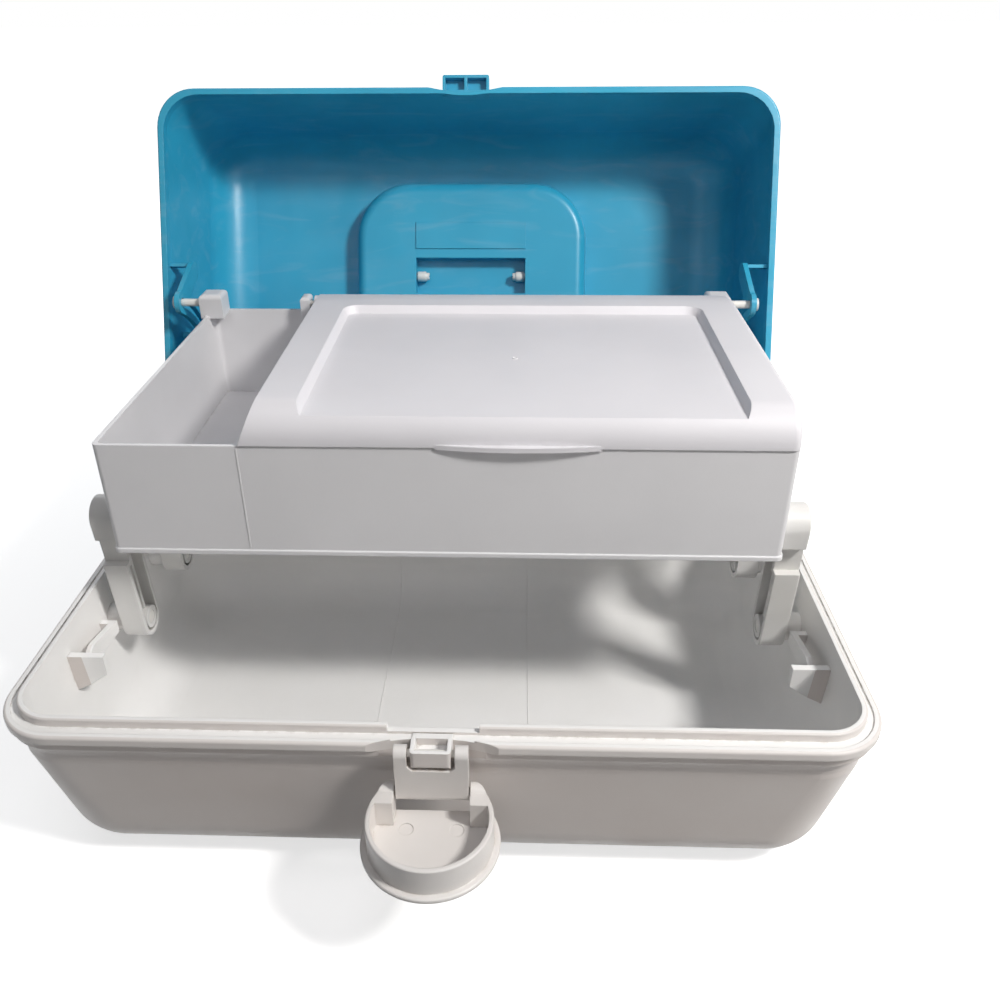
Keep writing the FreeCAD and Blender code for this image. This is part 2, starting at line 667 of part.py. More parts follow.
def lid_track():
    """Right-hand track: a slotted curved strap with stubs to the lid's side wall."""
    path = guide_path(0.0, 1.0, 25)
    slot_r = GUIDE_PIN_RADIUS + SLOT_FIT
    strap_r = slot_r + TRACK_STRAP
    strap = band_along(path, strap_r, track_in, track_out)
    tail_end = (hinge_y - TRACK_TAIL_S, hinge_z + TRACK_TAIL_H)
    tail = stadium(path[-1], tail_end, TRACK_TAIL_RADIUS, track_in, track_out)
    room = lid_hollow().common(block(0, rim_w, -half_d, half_d, lip_top + SIDE_GAP, CASE_HEIGHT))
    rails = band_along(path, strap_r, track_out - 0.5, half_w)
    rails = rails.cut(band_along(path, GUIDE_HEAD_RADIUS + SIDE_GAP, track_out - 1, half_w + 1))
    stubs = []
    for index in (1, 8, 15):
        y, z = path[index]
        slice_at = block(track_in, half_w, y - TRACK_WEB, y + TRACK_WEB, z - 9, z + 9)
        stubs.append(rails.common(slice_at).common(room))
    end_web = block(
        track_out - 0.5, half_w, tail_end[0] - 4.0, tail_end[0] - 4.0 + TRACK_WEB, tail_end[1] - 2.5, tail_end[1] + 5.5
    )
    stubs.append(end_web.common(room))
    part = strap.fuse([tail] + stubs)
    part = part.cut(band_along(path, slot_r, track_in - 1, track_out + 1))
    return part.removeSplitter()


# ---- tray
tray_mid_y = (TRAY_FRONT_Y + TRAY_BACK_Y) / 2
tray_half_y = (TRAY_BACK_Y - TRAY_FRONT_Y) / 2
wall_x = tray_half - TRAY_BEAD
upright_out = wall_x + UPRIGHT_OVERHANG
upright_in = upright_out - UPRIGHT_WIDTH
upright_front = TRAY_BACK_Y - UPRIGHT_DEPTH
arm_top = arm_point(ARM_LEAN)


def tray_pivots():
    """The two swing arm pivots on the tray's side, as (y, z)."""
    front = (ARM_PIVOT_Y + arm_top.y, ARM_PIVOT_Z + arm_top.z)
    return [front, (front[0] + ARM_SPACING, front[1])]


def both_sides(shapes):
    return shapes + [mirrored(s) for s in shapes]


def tray():
    inset = TRAY_BEAD
    bead_top = TRAY_BOTTOM + TRAY_BEAD_HEIGHT
    bead = slab(tray_half, tray_half_y, TRAY_CORNER_RADIUS, TRAY_BOTTOM, bead_top, 0, tray_mid_y)
    bead = rounded(bead, 0.5, lambda p: near(p.z, TRAY_BOTTOM) or near(p.z, bead_top))
    walls = slab(wall_x, tray_half_y - inset, TRAY_CORNER_RADIUS - inset, TRAY_BOTTOM, tray_top, 0, tray_mid_y)
    body = fuse([bead, walls])
    floor_z = TRAY_BOTTOM + TRAY_FLOOR
    room_y = tray_half_y - inset - TRAY_WALL
    rooms = []
    for x0, x1 in (
        (-wall_x + TRAY_WALL, DIVIDER_X - TRAY_WALL / 2),
        (DIVIDER_X + TRAY_WALL / 2, wall_x - TRAY_WALL),
    ):
        rooms.append(slab((x1 - x0) / 2, room_y, 2.0, floor_z, tray_top + 1, (x0 + x1) / 2, tray_mid_y))
    body = body.cut(rooms)
    added = []
    for y, z in tray_pivots():
        added.append(rod(wall_x - TRAY_WALL - 3.0, wall_x - 0.5, y, z, ARM_PIN_RADIUS + 2.0))
    post = block(upright_in, upright_out, upright_front, TRAY_BACK_Y - inset, tray_top - UPRIGHT_ROOT, UPRIGHT_TOP)
    post = rounded(post, 2.5, lambda p: near(p.z, UPRIGHT_TOP))
    added.append(post)
    lug_x = DIVIDER_X - TRAY_WALL / 2 - SIDE_GAP
    lug_top = COVER_HINGE_Z + COVER_KNUCKLE
    lug_front = TRAY_BACK_Y - LUG_DEPTH
    lug = block(lug_x - LUG_WIDTH, lug_x, lug_front, TRAY_BACK_Y - inset, tray_top - LUG_ROOT, lug_top)
    lug = rounded(lug, 2.0, lambda p: near(p.z, lug_top))
    body = body.fuse(both_sides(added) + [lug])
    holes = []
    for y, z in tray_pivots():
        holes.append(rod(wall_x - TRAY_WALL - 2.0, tray_half + 1, y, z, ARM_PIN_RADIUS))
    holes.append(rod(upright_in + UPRIGHT_WIDTH / 2, upright_out + 1, GUIDE_Y, GUIDE_Z, GUIDE_PIN_RADIUS))
    body = body.cut(both_sides(holes))
    body = body.cut(rod(upright_in - 1, upright_in + PIN_ROOT, COVER_HINGE_Y, COVER_HINGE_Z, COVER_PIN_RADIUS))
    body = body.cut(rod(lug_x - PIN_ROOT, lug_x + 1, COVER_HINGE_Y, COVER_HINGE_Z, COVER_PIN_RADIUS))
    return body.removeSplitter()


def guide_pin():
    """Right-hand guide pin: shaft and head."""
    start = upright_in + UPRIGHT_WIDTH / 2
    head = track_out + 0.3
    shaft = rod(start, head + GUIDE_HEAD_LENGTH, GUIDE_Y, GUIDE_Z, GUIDE_PIN_RADIUS)
    cap = rod(head, head + GUIDE_HEAD_LENGTH, GUIDE_Y, GUIDE_Z, GUIDE_HEAD_RADIUS)
    return fuse([shaft, cap])


# ---- swing arms
def arm(pivot_y):
    """Right-hand arm, drawn upright on its lower pivot and then leaned and placed."""
    length = ARM_LENGTH
    deep = ARM_HALF_DEPTH
    front = -deep + ARM_NOTCH
    bar = stadium((0, 0), (0, length), deep, arm_in, arm_out)
    bar = rounded(bar, 0.8, lambda p: near(p.x, arm_out))
    notch = block(arm_in - 1, arm_out + 1, -deep - 1, front, ARM_NOTCH_START, ARM_NOTCH_END)
    channel = stadium((0, 0), (0, length), deep - ARM_RIM, arm_in - 1, arm_out - ARM_WEB)
    keep = [
        block(
            arm_in - 1, arm_out, -deep, front + ARM_RIM, ARM_NOTCH_START - ARM_RIM, ARM_NOTCH_END + ARM_RIM
        ),
        rod(arm_in, arm_out, 0, 0, ARM_BOSS_RADIUS),
        rod(arm_in, arm_out, 0, length, ARM_BOSS_RADIUS),
        block(arm_in + 2.0, arm_out, -0.8, 0.8, 0, length),
    ]
    part = bar.cut(notch).cut(channel.cut(keep))
    line = block(arm_out - 0.01, arm_out + 0.3, -0.7, 0.7, ARM_BOSS_RADIUS + 3, length - ARM_BOSS_RADIUS - 3)
    part = part.fuse(line)
    hole_r = ARM_PIN_RADIUS + RUN_FIT
    part = part.cut([rod(arm_in - 1, arm_out + 1, 0, z, hole_r) for z in (0, length)])
    part = part.removeSplitter()
    part.rotate(V(0, 0, 0), X_AXIS, ARM_LEAN)
    part.translate(V(0, pivot_y, ARM_PIVOT_Z))
    return part


# ---- tray cover
cover_bottom = tray_top + COVER_GAP
cover_top = cover_bottom + COVER_RISE
cover_left = DIVIDER_X + TRAY_WALL / 2
cover_right = wall_x


def cover_solid(inset):
    """The cover's outside, or its hollow when inset is the wall."""
    front = TRAY_FRONT_Y + inset
    top = cover_top - inset
    low = cover_bottom if inset == 0 else cover_bottom - 1
    bend = COVER_FRONT_RADIUS - inset
    k = bend * (1 - math.sqrt(0.5))
    back = COVER_HINGE_Y
    knuckle = COVER_KNUCKLE
    x0 = cover_left + inset
    x1 = cover_right - inset
    crown = (back + 1.2, COVER_HINGE_Z + knuckle - 0.2 - inset)
    middle = ((COVER_FLAT_END_Y + crown[0]) / 2, top - (top - crown[1]) * 0.27)

    def at(y, z):
        return V(x0, y, z)

    edges = [
        Part.makeLine(at(front, low), at(front, top - bend)),
        Part.Arc(at(front, top - bend), at(front + k, top - k), at(front + bend, top)).toShape(),
        Part.makeLine(at(front + bend, top), at(COVER_FLAT_END_Y, top)),
        Part.Arc(at(COVER_FLAT_END_Y, top), at(*middle), at(*crown)).toShape(),
        Part.makeLine(at(*crown), at(back + 1.2, low)),
        Part.makeLine(at(back + 1.2, low), at(front, low)),
    ]
    body = Part.Face(Part.Wire(edges)).extrude(V(x1 - x0, 0, 0))
    slope = COVER_SLOPE / COVER_RISE
    lean = front_profile(
        [
            (x0 - 2, low - 1),
            (x0 - slope * (cover_bottom - low + 1), low - 1),
            (x0 + slope * (top - cover_bottom + 2), top + 2),
            (x0 - 2, top + 2),
        ],
        front - 5,
        back + 10,
    )
    return body.cut(lean)


def panel_recess(grow):
    """The sunk panel in the cover's top, open at the front; grow thickens it for the underside."""
    low = cover_top - PANEL_RECESS - grow
    x_mid = (PANEL_LEFT_X + PANEL_RIGHT_X) / 2
    half_x = (PANEL_RIGHT_X - PANEL_LEFT_X) / 2 + grow
    front = TRAY_FRONT_Y - 20
    half_y = (PANEL_BACK_Y + grow - front) / 2
    y_mid = front + half_y
    bevel = PANEL_BEVEL
    lower = outline(half_x - bevel, half_y - bevel, 5.0, low, x_mid, y_mid)
    upper = outline(half_x, half_y, 5.0 + bevel, cover_top, x_mid, y_mid)
    brim = outline(half_x, half_y, 5.0 + bevel, cover_top + 5, x_mid, y_mid)
    return loft([lower, upper]).fuse(loft([upper, brim]))


def tray_cover():
    body = cover_solid(0.0)
    body = rounded(
        body,
        COVER_EDGE_RADIUS,
        lambda p: near(p.x, cover_right) and p.z > cover_top - 0.05 and p.y < COVER_FLAT_END_Y + 1,
    )
    body = body.cut(panel_recess(0.0))
    hollow = cover_solid(COVER_WALL).cut(panel_recess(COVER_WALL))
    wall_end = COVER_HINGE_Y - COVER_KNUCKLE - 1.0
    hollow = hollow.common(block(-half_w, half_w, -half_d, wall_end, 0, cover_top))
    body = body.cut(hollow)
    ears = []
    for x0, x1 in (
        (cover_left + COVER_WALL + 1.5, cover_left + COVER_WALL + 1.5 + COVER_EAR),
        (upright_in - SIDE_GAP - COVER_EAR, upright_in - SIDE_GAP),
    ):
        ears.append(block(x0, x1, wall_end - 6, wall_end + 1, cover_bottom, cover_top - 5))
    back_bar = rod(cover_left, upright_in - SIDE_GAP, COVER_HINGE_Y, COVER_HINGE_Z, COVER_KNUCKLE)
    trim = block(-half_w, half_w, COVER_HINGE_Y, TRAY_BACK_Y + 5, 0, COVER_HINGE_Z + COVER_KNUCKLE + 9)
    under = block(-half_w, half_w, COVER_HINGE_Y - COVER_KNUCKLE, TRAY_BACK_Y + 5, 0, COVER_HINGE_Z)
    body = body.fuse(ears).cut([trim, under]).fuse(back_bar)
    # room for the tray's right-hand upright as the cover swings
    reach = math.hypot(COVER_HINGE_Y - upright_front, UPRIGHT_TOP - COVER_HINGE_Z) + SIDE_GAP
    notch_x = upright_in - SIDE_GAP
    notch = rod(notch_x, half_w, COVER_HINGE_Y, COVER_HINGE_Z, reach)
    behind = block(notch_x, half_w, COVER_HINGE_Y - reach, TRAY_BACK_Y + 5, 0, cover_top + 1)
    body = body.cut([notch, behind])
    # finger tab on the front edge
    radius = ((TAB_WIDTH / 2) ** 2 + TAB_REACH**2) / (2 * TAB_REACH)
    centre = V(TAB_CENTRE_X, TRAY_FRONT_Y - TAB_REACH + radius, cover_bottom - 0.8)
    disc = Part.makeCylinder(radius, TAB_THICKNESS, centre)
    tab = disc.common(block(-half_w, half_w, TRAY_FRONT_Y - 9, TRAY_FRONT_Y, 0, CASE_HEIGHT))
    tie_x0 = TAB_CENTRE_X - TAB_TIE / 2
    tie = block(tie_x0, tie_x0 + TAB_TIE, TRAY_FRONT_Y - 0.5, TRAY_FRONT_Y + 1, cover_bottom, cover_bottom + 1.4)
    tab = fuse([tab, tie])
    body = body.fuse(tab)
    pin_r = COVER_PIN_RADIUS + RUN_FIT
    hole_left = rod(cover_left - 1, cover_left + COVER_PIN_REACH + 0.6, COVER_HINGE_Y, COVER_HINGE_Z, pin_r)
    hole_right = rod(upright_in - SIDE_GAP - COVER_PIN_REACH - 0.6, upright_in, COVER_HINGE_Y, COVER_HINGE_Z, pin_r)
    return body.cut([hole_left, hole_right]).removeSplitter()


# ---- latch
def latch_link():
    half = LINK_WIDTH / 2
    bar = stadium((latch_y, latch_z), (button_y, button_z), LINK_EYE_RADIUS, -half, half)
    gap = half - LINK_ARM_WIDTH
    cut_z = latch_z - 5.9
    slot = front_profile(
        [
            (-gap, lip_top + 9),
            (-gap, cut_z + 1.8),
            (-gap + 1.8, cut_z),
            (gap - 1.8, cut_z),
            (gap, cut_z + 1.8),
            (gap, lip_top + 9),
        ],
        latch_y - 9,
        latch_y + 9,
    )
    part = bar.cut(slot)
    holes = [
        rod(-half - 1, half + 1, latch_y, latch_z, LATCH_PIN_RADIUS + RUN_FIT),
        rod(-half - 1, half + 1, button_y, button_z, BUTTON_PIN_RADIUS + RUN_FIT),
    ]
    return part.cut(holes).removeSplitter()


def segment(radius, low, y0, y1):
    """A round plate with one straight side, in the shut button's frame: x across, z along it from its pivot."""
    centre = BUTTON_LENGTH
    half = math.sqrt(radius**2 - (centre - low) ** 2)
    arc = Part.Arc(V(-half, y0, low), V(0, y0, centre + radius), V(half, y0, low)).toShape()
    chord = Part.makeLine(V(half, y0, low), V(-half, y0, low))
    return Part.Face(Part.Wire([arc, chord])).extrude(V(0, y1 - y0, 0))


def latch_button():
    back = -BUTTON_BACK
    inner = back + BUTTON_FLOOR
    lip_y = inner + BUTTON_DEPTH
    plate = segment(BUTTON_RADIUS, BUTTON_CUT, back, inner)
    plate = rounded(plate, 0.7, lambda p: near(p.y, back) or near(p.y, inner))
    wall_r = BUTTON_RADIUS - BUTTON_RIM_INSET
    wall = segment(wall_r, BUTTON_CUT, inner - 0.5, lip_y)
    wall = rounded(wall, 0.6, lambda p: near(p.y, lip_y) and p.z > BUTTON_CUT + 0.1)
    room = segment(wall_r - BUTTON_WALL, -4.0, inner, lip_y + 1)
    part = fuse([plate, wall]).cut(room)
    # ears each side of the link
    ear_in = LINK_WIDTH / 2 + SIDE_GAP
    disc = Part.makeCylinder(wall_r - 0.2, lip_y - inner + 9, V(0, inner - 0.3, BUTTON_LENGTH), V(0, 1, 0))
    for side in (-1, 1):
        x0 = min(side * ear_in, side * wall_r)
        x1 = max(side * ear_in, side * wall_r)
        foot = block(x0, x1, inner - 0.3, lip_y, BUTTON_CUT, BUTTON_EAR_END)
        eye = rod(x0, x1, 0, 0, BUTTON_EAR_RADIUS)
        brace = side_profile([(inner - 0.3, BUTTON_CUT), (-2.4, -2.4), (0, 0), (0, 2), (inner, 2)], x0, x1)
        part = part.fuse(fuse([foot, eye, brace]).common(disc))
    part = part.cut(rod(-BUTTON_RADIUS, BUTTON_RADIUS, 0, 0, BUTTON_PIN_RADIUS))
    for x in (-9.0, 9.0):
        part = part.cut(Part.makeCylinder(2.6, 1.0, V(x, inner - 0.3, 9.5), V(0, 1, 0)))
    part = part.removeSplitter()
    part.translate(V(0, button_y, button_z))
    part.rotate(V(0, button_y, button_z), X_AXIS, BUTTON_TURN)
    return part


# ---- carrying handle, drawn folded with the lid shut
def handle():
    y0 = HANDLE_PIVOT_Y
    z0 = CASE_HEIGHT - HANDLE_PIVOT_DROP
    x_in = YOKE_WIDTH / 2 + LID_WALL + SIDE_GAP
    x_out = x_in + HANDLE_ARM_WIDTH
    half = HANDLE_ARM_HEIGHT / 2
    grip_front = y0 + HANDLE_GRIP_REACH - HANDLE_GRIP_DEPTH / 2
    side = stadium((y0, z0), (grip_front + 4, z0), half, x_in, x_out)
    side = rounded(side, 1.2, lambda p: near(p.x, x_out))
    grip_z = z0 - half
    grip = slab(x_out, HANDLE_GRIP_DEPTH / 2, 9.0, grip_z, grip_z + HANDLE_GRIP_HEIGHT, 0, y0 + HANDLE_GRIP_REACH)
    grip = rounded(grip, 2.5, lambda p: near(p.z, grip_z) or near(p.z, grip_z + HANDLE_GRIP_HEIGHT))
    pin = rod(x_in - HANDLE_PIN_REACH, x_in + 1, y0, z0, HANDLE_PIN_RADIUS)
    tip = rod(x_in - HANDLE_PIN_REACH, x_in - HANDLE_PIN_REACH + 1.6, y0, z0, HANDLE_PIN_RADIUS)
    split = block(x_in - HANDLE_PIN_REACH - 1, x_in - 5.0, y0 - 0.4, y0 + 0.4, z0 - 3, z0 + 3)
    pin = pin.fuse(tip).cut(split)
    return fuse(both_sides([side, pin]) + [grip])


# ---- write the pieces
os.makedirs("parts", exist_ok=True)
tub_shape = base_tub()
save("base_tub", tub_shape)
save("latch_bracket", latch_bracket(tub_shape))
for name, sign in (("left", -1), ("right", 1)):
    centre = sign * HINGE_SPACING / 2
    reach = KNUCKLE_WIDTH * 1.5 + KNUCKLE_GAP
    save("hinge_pin_" + name, rod(centre - reach, centre + reach, hinge_y, hinge_z, HINGE_PIN_RADIUS))

shell = lid_shell()
save("lid_shell", open_lid(shell))
track = lid_track().cut(shell)
save("lid_track_right", open_lid(track))
save("lid_track_left", open_lid(mirrored(track)))
save("handle", open_lid(handle()))

save("tray", tray())
save("tray_cover", tray_cover())
guide = guide_pin()
save("guide_pin_right", guide)
save("guide_pin_left", mirrored(guide))
lug_face = DIVIDER_X - TRAY_WALL / 2 - SIDE_GAP
left_end = cover_left + COVER_PIN_REACH
save("cover_pin_left", rod(lug_face - PIN_ROOT, left_end, COVER_HINGE_Y, COVER_HINGE_Z, COVER_PIN_RADIUS))
right_start = upright_in - SIDE_GAP - COVER_PIN_REACH
right_end = upright_in + PIN_ROOT
save("cover_pin_right", rod(right_start, right_end, COVER_HINGE_Y, COVER_HINGE_Z, COVER_PIN_RADIUS))

pin_end = body_w - BASE_WALL - 2
for place, pivot_y, pivot in (
    ("front", ARM_PIVOT_Y, tray_pivots()[0]),
    ("rear", ARM_PIVOT_Y + ARM_SPACING, tray_pivots()[1]),
):
    swing_arm = arm(pivot_y)
    base_pin = rod(arm_in + 0.3, pin_end, pivot_y, ARM_PIVOT_Z, ARM_PIN_RADIUS)
    tray_pin = rod(wall_x - TRAY_WALL - 2.0, arm_out - 0.3, pivot[0], pivot[1], ARM_PIN_RADIUS)
    for name, shape in (("_arm_", swing_arm), ("_arm_base_pin_", base_pin), ("_arm_tray_pin_", tray_pin)):
        save(place + name + "right", shape)
        save(place + name + "left", mirrored(shape))

save("latch_link", latch_link())
link_pin_reach = LINK_WIDTH / 2 - 0.4
save("latch_link_pin", rod(-link_pin_reach, link_pin_reach, latch_y, latch_z, LATCH_PIN_RADIUS))
save("latch_button", latch_button())
button_pin_reach = LINK_WIDTH / 2 + SIDE_GAP + 3.0
save("latch_button_pin", rod(-button_pin_reach, button_pin_reach, button_y, button_z, BUTTON_PIN_RADIUS))
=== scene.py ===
import math

import bpy
from mathutils import Euler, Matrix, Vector


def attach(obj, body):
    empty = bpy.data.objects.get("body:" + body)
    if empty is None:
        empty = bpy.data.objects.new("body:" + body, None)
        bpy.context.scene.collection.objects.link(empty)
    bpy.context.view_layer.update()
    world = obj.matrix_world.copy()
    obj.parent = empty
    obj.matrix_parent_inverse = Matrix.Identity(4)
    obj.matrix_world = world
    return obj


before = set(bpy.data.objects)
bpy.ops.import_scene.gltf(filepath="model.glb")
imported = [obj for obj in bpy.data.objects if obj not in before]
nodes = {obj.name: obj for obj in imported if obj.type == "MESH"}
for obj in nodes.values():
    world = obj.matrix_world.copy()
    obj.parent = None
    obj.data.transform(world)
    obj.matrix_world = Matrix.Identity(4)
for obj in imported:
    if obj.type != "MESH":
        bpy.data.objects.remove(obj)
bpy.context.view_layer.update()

scene = bpy.context.scene
bpy.ops.object.select_all(action="DESELECT")

# ---- Camera
# Held a little above the open case and tipped down 29.7 degrees, turned slightly left,
# as someone standing at the front edge sees into it. Angles are in radians.
FRAME_W, FRAME_H = 1000, 1007
FOCAL_PX = 919.64
CENTRE_PX = (482.61, 490.75)
PITCH, YAW, ROLL = 0.518, 0.040, -0.009
EYE = (0.02806, -0.33625, 0.31417)
camera_data = bpy.data.cameras.new("camera")
camera = bpy.data.objects.new("camera", camera_data)
scene.collection.objects.link(camera)
camera_data.sensor_width = 36.0
camera_data.lens = FOCAL_PX / FRAME_H * camera_data.sensor_width
camera_data.shift_x = (FRAME_W / 2 - CENTRE_PX[0]) / FRAME_H
camera_data.shift_y = -(FRAME_H / 2 - CENTRE_PX[1]) / FRAME_H
camera_data.clip_start = 0.01
camera_data.dof.use_dof = False
look = Vector((-math.sin(YAW) * math.cos(PITCH), math.cos(YAW) * math.cos(PITCH), -math.sin(PITCH)))
camera.rotation_mode = "QUATERNION"
camera.rotation_quaternion = look.to_track_quat("-Z", "Y") @ Euler((0, 0, ROLL)).to_quaternion()
camera.location = EYE
scene.camera = camera
scene.view_settings.view_transform = "Standard"


# ---- Floor and light
# A plain pale sweep under soft lamps: a small key lamp high on the right, a box lamp
# overhead, and weak ones in front, low on the right and behind.
def linear(code):
    """An sRGB hex colour as linear RGBA."""
    parts = [int(code[i : i + 2], 16) / 255 for i in (1, 3, 5)]
    return [c / 12.92 if c <= 0.04045 else ((c + 0.055) / 1.055) ** 2.4 for c in parts] + [1.0]


def add(tree, kind, links=None, **settings):
    """Adds a shader node, sets its attributes, and fills its sockets with values or other sockets."""
    made = tree.nodes.new(kind)
    for name, value in settings.items():
        setattr(made, name, value)
    for name, value in (links or {}).items():
        socket = made.inputs[name]
        if isinstance(value, bpy.types.NodeSocket):
            tree.links.new(value, socket)
        else:
            socket.default_value = value
    return made


def seen_directly(tree):
    """1 on rays that show the surface itself: straight, in gloss or through glass."""
    path = add(tree, "ShaderNodeLightPath")
    shown = path.outputs["Is Camera Ray"]
    for name in ("Is Glossy Ray", "Is Transmission Ray"):
        shown = add(tree, "ShaderNodeMath", {0: shown, 1: path.outputs[name]}, operation="MAXIMUM").outputs[0]
    return shown


SURROUND_LIGHT = 0.11
world = bpy.data.worlds.new("surround")
world.use_nodes = True
tree = world.node_tree
tree.nodes.clear()
lit = add(tree, "ShaderNodeBackground", {"Color": linear("#F4F5F8"), "Strength": SURROUND_LIGHT})
shown = add(tree, "ShaderNodeBackground", {"Color": linear("#FFFFFF"), "Strength": 1.0})
mix = add(tree, "ShaderNodeMixShader", {0: seen_directly(tree), 1: lit.outputs[0], 2: shown.outputs[0]})
add(tree, "ShaderNodeOutputWorld", {"Surface": mix.outputs[0]})
scene.world = world

# The floor is pale where it is seen and a plain grey for the light it throws back. Its
# glow grows with distance from the case, so the shadow shows and the far floor is white.
GLOW_START, GLOW_END = 0.15, 0.75
GLOW_LEAST, GLOW_MOST = 0.62, 1.0
FLOOR_SIZE = 12.0
paper = bpy.data.materials.new("floor_white_paper")
paper.use_nodes = True
tree = paper.node_tree
tree.nodes.clear()
matt = add(tree, "ShaderNodeBsdfDiffuse", {"Color": linear("#F4F4F4")})
back = add(tree, "ShaderNodeBsdfDiffuse", {"Color": linear("#747474")})
spot = add(tree, "ShaderNodeTexCoord").outputs["Object"]
away = add(tree, "ShaderNodeVectorMath", {0: spot}, operation="LENGTH")
lift = add(
    tree,
    "ShaderNodeMapRange",
    {
        "Value": away.outputs["Value"],
        "From Min": GLOW_START,
        "From Max": GLOW_END,
        "To Min": GLOW_LEAST,
        "To Max": GLOW_MOST,
    },
)
glow = add(tree, "ShaderNodeEmission", {"Color": linear("#FFFFFF"), "Strength": lift.outputs[0]})
both = add(tree, "ShaderNodeAddShader", {0: matt.outputs[0], 1: glow.outputs[0]})
mix = add(tree, "ShaderNodeMixShader", {0: seen_directly(tree), 1: back.outputs[0], 2: both.outputs[0]})
add(tree, "ShaderNodeOutputMaterial", {"Surface": mix.outputs[0]})
bpy.ops.mesh.primitive_plane_add(size=FLOOR_SIZE, location=(0, 0, 0))
floor = bpy.context.object
floor.name = "floor"
floor.data.materials.append(paper)
bpy.ops.object.transform_apply(location=True, rotation=True, scale=True)
bpy.ops.object.select_all(action="DESELECT")


def lamp(name, place, target, size, watts, tint):
    """A soft box lamp at place, aimed at target; places and sizes are in metres."""
    data = bpy.data.lights.new(name, "AREA")
    data.shape = "RECTANGLE"
    data.size, data.size_y = size
    data.energy = watts
    data.color = linear(tint)[:3]
    made = bpy.data.objects.new(name, data)
    scene.collection.objects.link(made)
    made.location = place
    made.rotation_euler = (Vector(target) - Vector(place)).to_track_quat("-Z", "Y").to_euler()


lamp("key", (0.58, -0.36, 0.80), (0.0, 0.08, 0.12), (0.14, 0.14), 7.9, "#FFFDFA")
lamp("top", (-0.05, -0.30, 1.45), (0.0, -0.02, 0.1), (0.7, 0.5), 2.0, "#FAFAFF")
lamp("front", (-0.25, -1.0, 0.88), (0.0, 0.2, 0.17), (0.5, 0.2), 0.6, "#FAFCFF")
lamp("side", (0.85, -0.70, 0.32), (0.08, 0.0, 0.09), (0.5, 0.25), 0.9, "#FFFBF6")
lamp("rear", (-0.45, 1.15, 0.70), (0.0, 0.12, 0.10), (0.7, 0.5), 2.2, "#FAFCFF")


# ---- Base tub
# Injection-moulded polypropylene, its gloss faded by handling. The white has yellowed a
# little; brown painted into the groove between lip and flange and its other corners is dirt
# and painted shade, and the outside of the walls is painted darker as painted shade.
PER_METRE = 1000.0  # a pattern's scale is this over its size in millimetres
CLOUD_SIZE = 60.0
SCUFF_SIZE = 14.0
DIRT_AND_SHADE_PATCH_SIZE = 4.0
RUB_SIZE = 18.0
GRAIN_SIZE = 0.9  # drawn several times coarser than the mould's own grain, so that it shows
CORNER_REACH = 0.003
EDGE_RADIUS = 0.0005
GRAIN_DEPTH = 0.0004
SCUFF_STRETCH = (0.3, 1.0, 1.4)
SCUFF_TURN = (0.0, 0.35, 0.5)
SCUFF_COLOUR = "#F2F4F4"
PLASTIC_IOR = 1.49
TINT_A, TINT_B, TINT_OUT = 6, 7, 2  # a Mix node's colour sockets

# The base's walls lean out by these shares of their height; past the edge, measured at
# the table, a point belongs to a wall's outer half.
FRONT_LEAN, FRONT_EDGE = 0.125, 0.0798
SIDE_LEAN, SIDE_EDGE = 0.07, 0.1441
FLANGE_TOP = 0.0728
# painted shade on the outer walls is full below the flange top and this share of it above
WALL_SHADE_ABOVE_FLANGE = 0.7


